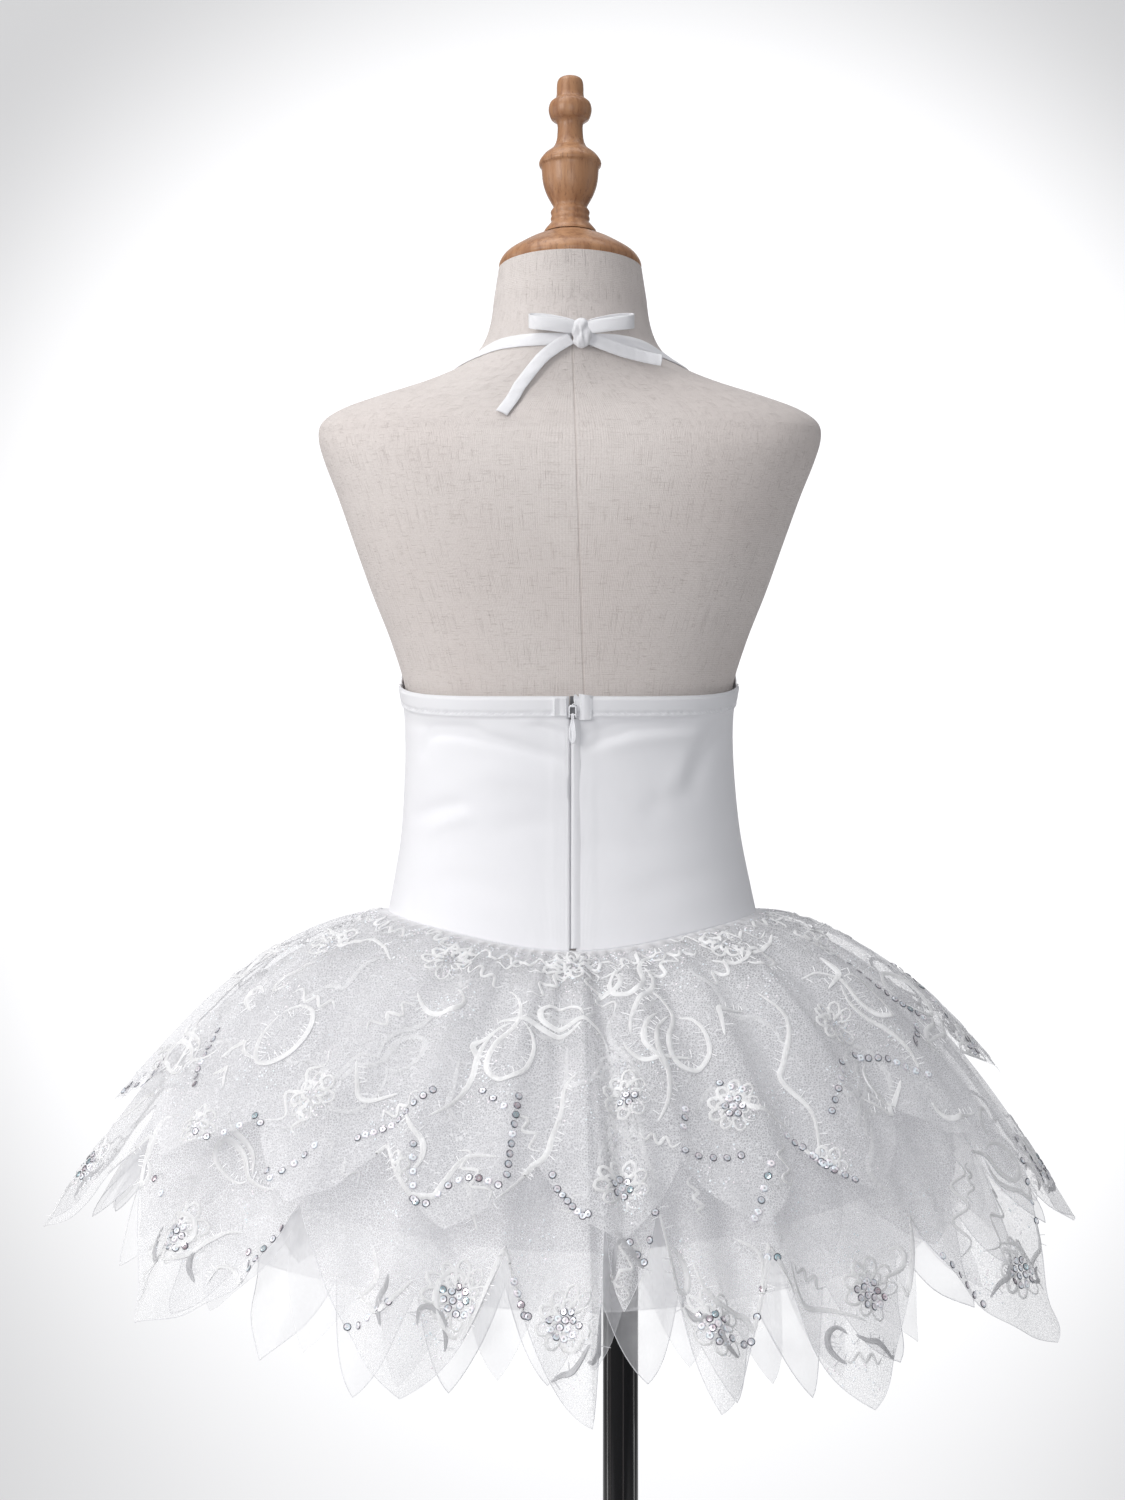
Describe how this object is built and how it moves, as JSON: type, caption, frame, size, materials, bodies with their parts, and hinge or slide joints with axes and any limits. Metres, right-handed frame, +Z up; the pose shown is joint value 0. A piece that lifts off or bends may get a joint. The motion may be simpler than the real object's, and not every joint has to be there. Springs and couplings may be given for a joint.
{
  "type": "ballet tutu on dress form",
  "caption": "Child's halter-neck pixie tutu with a layered petal skirt, back zip and neck bow, worn on a limbless linen dress form with a wooden finial and pole stand.",
  "frame": {"origin": "on the floor under the dress form's centre line, at the underside of the stand's base", "axes": "+Z up, +Y towards the garment's back with its zip and bow, +X towards the wearer's left; the longest side is +Z"},
  "size_m": [0.6398, 0.519, 1.1306],
  "materials": {
    "linen": "natural beige-grey linen with slubs",
    "wood": "mid-brown turned wood, satin varnish",
    "black_metal": "gloss black",
    "white_satin": "white stretch satin, soft sheen",
    "embroidered_net": "white net with glitter, cord embroidery and sequins",
    "organza": "sheer white organza",
    "hex_net": "fine white hexagon net",
    "lining": "smooth white lining cloth",
    "zip_tape": "white woven tape over a nylon coil",
    "zip_metal": "white enamelled zip slider and pull"
  },
  "bodies": {
    "dress_form": {"form_torso": "linen", "neck_cap": "wood", "finial": "wood", "pole": "black_metal", "stand_base": "black_metal", "bodice_back_left": "white_satin", "bodice_back_right": "white_satin", "bodice_front": "white_satin", "strap_left": "white_satin", "strap_right": "white_satin", "bow_knot": "white_satin", "bow_loop_left": "white_satin", "bow_loop_right": "white_satin", "bow_tail_left": "white_satin", "bow_tail_right": "white_satin", "zip_coil": "zip_tape", "zip_slider": "zip_metal", "overlay_upper": "embroidered_net", "overlay_lower": "embroidered_net", "organza_points": "organza", "skirt_net": "hex_net", "skirt_lining": "lining"},
    "pull_tab": {"zip_pull": "zip_metal"}
  },
  "joints": [
    {"name": "pull_tab_hinge", "type": "hinge", "parent": "dress_form", "child": "pull_tab", "pos_m": [0, 0.07545, 0.729], "axis": [1, 0, 0], "range_deg": [0, 150]}
  ]
}
